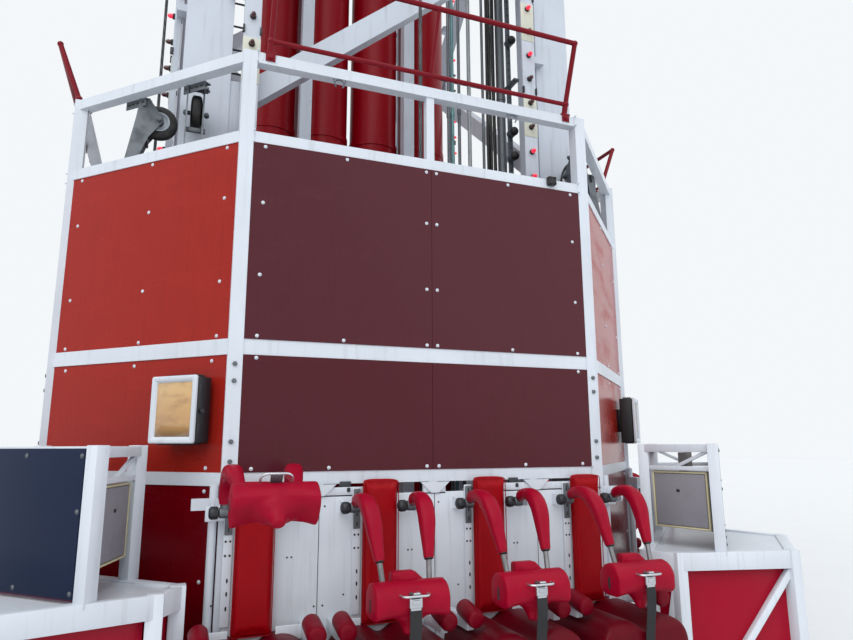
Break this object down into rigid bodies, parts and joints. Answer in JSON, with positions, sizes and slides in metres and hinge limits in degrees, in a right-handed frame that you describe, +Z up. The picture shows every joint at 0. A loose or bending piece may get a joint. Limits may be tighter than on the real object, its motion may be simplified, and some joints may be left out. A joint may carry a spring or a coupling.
{
  "type": "drop tower ride",
  "caption": "Drop tower ride: ring-shaped seat carriage with over-shoulder restraints that slides up a square lattice mast with launch cylinders.",
  "frame": {"origin": "on the deck, under the tower axis", "axes": "+Z up along the tower axis, front sign face towards -Y, +X to the right seen from the front"},
  "size_m": [4.9, 5.0536, 12.074],
  "materials": {
    "white_paint": "semi-gloss",
    "crimson_paint": "semi-gloss",
    "service_rail_paint": "semi-gloss",
    "maroon_panel": "satin",
    "orange_red_panel": "satin",
    "deep_red_panel": "satin",
    "red_vinyl": "satin",
    "seat_vinyl": "satin",
    "grey_steel": "satin",
    "cable_steel": "oiled",
    "wheel_rubber": "matte",
    "speaker_case": "matte",
    "lamp_case": "matte",
    "pipe_steel": "satin"
  },
  "bodies": {
    "mast": {"mast_columns": "white_paint", "mast_bracing_front": "white_paint", "mast_bracing_right": "white_paint", "mast_bracing_back": "white_paint", "mast_bracing_left": "white_paint", "launch_cylinders": "crimson_paint", "cylinder_rack": "white_paint", "crosshead": "white_paint", "head_frame": "white_paint", "head_sheaves": "grey_steel", "hoist_cables": "cable_steel", "service_pipes": "pipe_steel", "light_strips": "white_paint", "corner_stand_frames": "white_paint", "corner_stand_panels": "deep_red_panel", "loudspeakers": "speaker_case"},
    "carriage": {"frame_front": "white_paint", "frame_right": "white_paint", "frame_back": "white_paint", "frame_left": "white_paint", "corner_frames": "white_paint", "sign_panels": "maroon_panel", "corner_panels": "orange_red_panel", "seat_backs_front": "white_paint", "seat_backs_right": "white_paint", "seat_backs_back": "white_paint", "seat_backs_left": "white_paint", "back_pads": "red_vinyl", "seats_front": "seat_vinyl", "seats_right": "seat_vinyl", "seats_back": "seat_vinyl", "seats_left": "seat_vinyl", "guide_forks": "grey_steel", "guide_wheels": "wheel_rubber", "floodlights": "lamp_case", "service_rails": "service_rail_paint", "restraints_right": "red_vinyl", "restraints_back": "red_vinyl", "restraints_left": "red_vinyl"},
    "restraint_front_1": {"restraint_front_1": "red_vinyl"},
    "restraint_front_2": {"restraint_front_2": "red_vinyl"},
    "restraint_front_3": {"restraint_front_3": "red_vinyl"},
    "restraint_front_4": {"restraint_front_4": "red_vinyl"},
    "guide_wheel_a": {"guide_wheel_a": "wheel_rubber"},
    "guide_wheel_b": {"guide_wheel_b": "wheel_rubber"},
    "guide_wheel_c": {"guide_wheel_c": "wheel_rubber"}
  },
  "joints": [
    {"name": "carriage_lift", "type": "slide", "parent": "mast", "child": "carriage", "axis": [0, 0, 1], "range_m": [0, 7.2]},
    {"name": "restraint_1_hinge", "type": "hinge", "parent": "carriage", "child": "restraint_front_1", "pos_m": [-0.879, -1.996, 1.315], "axis": [-1, 0, 0], "range_deg": [-53, 0]},
    {"name": "restraint_2_hinge", "type": "hinge", "parent": "carriage", "child": "restraint_front_2", "pos_m": [-0.293, -1.996, 1.315], "axis": [-1, 0, 0], "range_deg": [0, 53]},
    {"name": "restraint_3_hinge", "type": "hinge", "parent": "carriage", "child": "restraint_front_3", "pos_m": [0.293, -1.996, 1.315], "axis": [-1, 0, 0], "range_deg": [0, 53]},
    {"name": "restraint_4_hinge", "type": "hinge", "parent": "carriage", "child": "restraint_front_4", "pos_m": [0.879, -1.996, 1.315], "axis": [-1, 0, 0], "range_deg": [0, 53]},
    {"name": "guide_wheel_a_spin", "type": "hinge", "parent": "carriage", "child": "guide_wheel_a", "pos_m": [-1.24, -1.435, 3.44], "axis": [1, 0, 0], "continuous": true},
    {"name": "guide_wheel_b_spin", "type": "hinge", "parent": "carriage", "child": "guide_wheel_b", "pos_m": [-1.435, -1.24, 3.44], "axis": [0, 1, 0], "continuous": true},
    {"name": "guide_wheel_c_spin", "type": "hinge", "parent": "carriage", "child": "guide_wheel_c", "pos_m": [1.24, -1.435, 3.44], "axis": [1, 0, 0], "continuous": true}
  ]
}
